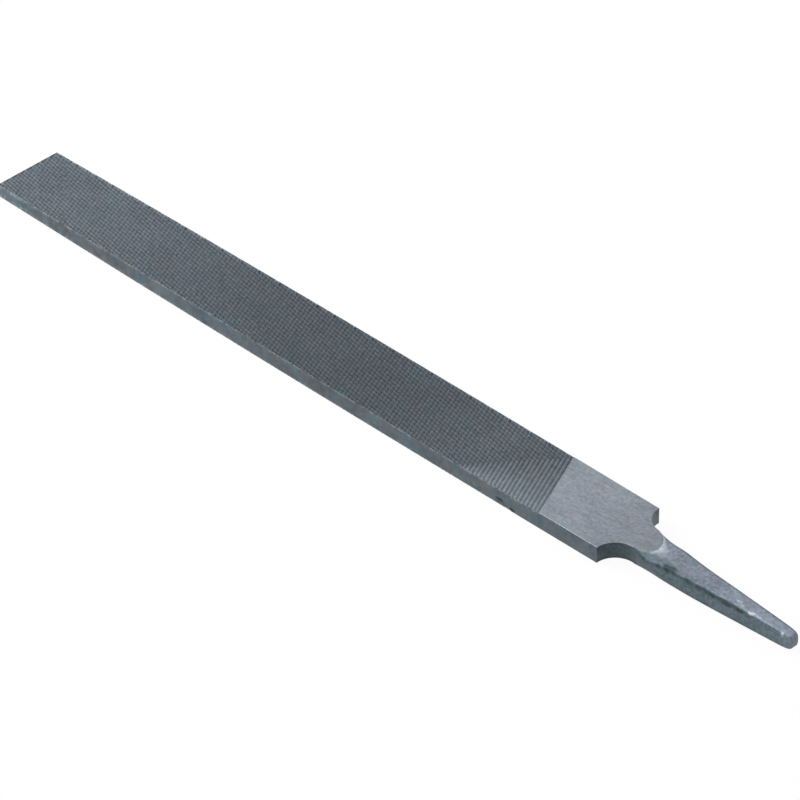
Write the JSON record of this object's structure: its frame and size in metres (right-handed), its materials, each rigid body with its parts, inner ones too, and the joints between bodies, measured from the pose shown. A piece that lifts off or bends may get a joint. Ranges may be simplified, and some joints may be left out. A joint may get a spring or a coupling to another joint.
{
  "type": "flat file",
  "caption": "Flat hand file with double-cut teeth on both faces, plain edges, a rounded shoulder and a bare pointed tang for a handle.",
  "frame": {"origin": "bottom centre of the file's box, on the surface it lies on", "axes": "+X along the file from its point to its tang, +Y across its width, +Z square to its faces"},
  "size_m": [0.1916, 0.0158, 0.0034],
  "materials": {
    "hardened_steel": "hardened tool steel: chisel-cut teeth, a ground heel and a dull forged tang"
  },
  "bodies": {
    "root": {"file_body": "hardened_steel"}
  },
  "joints": []
}
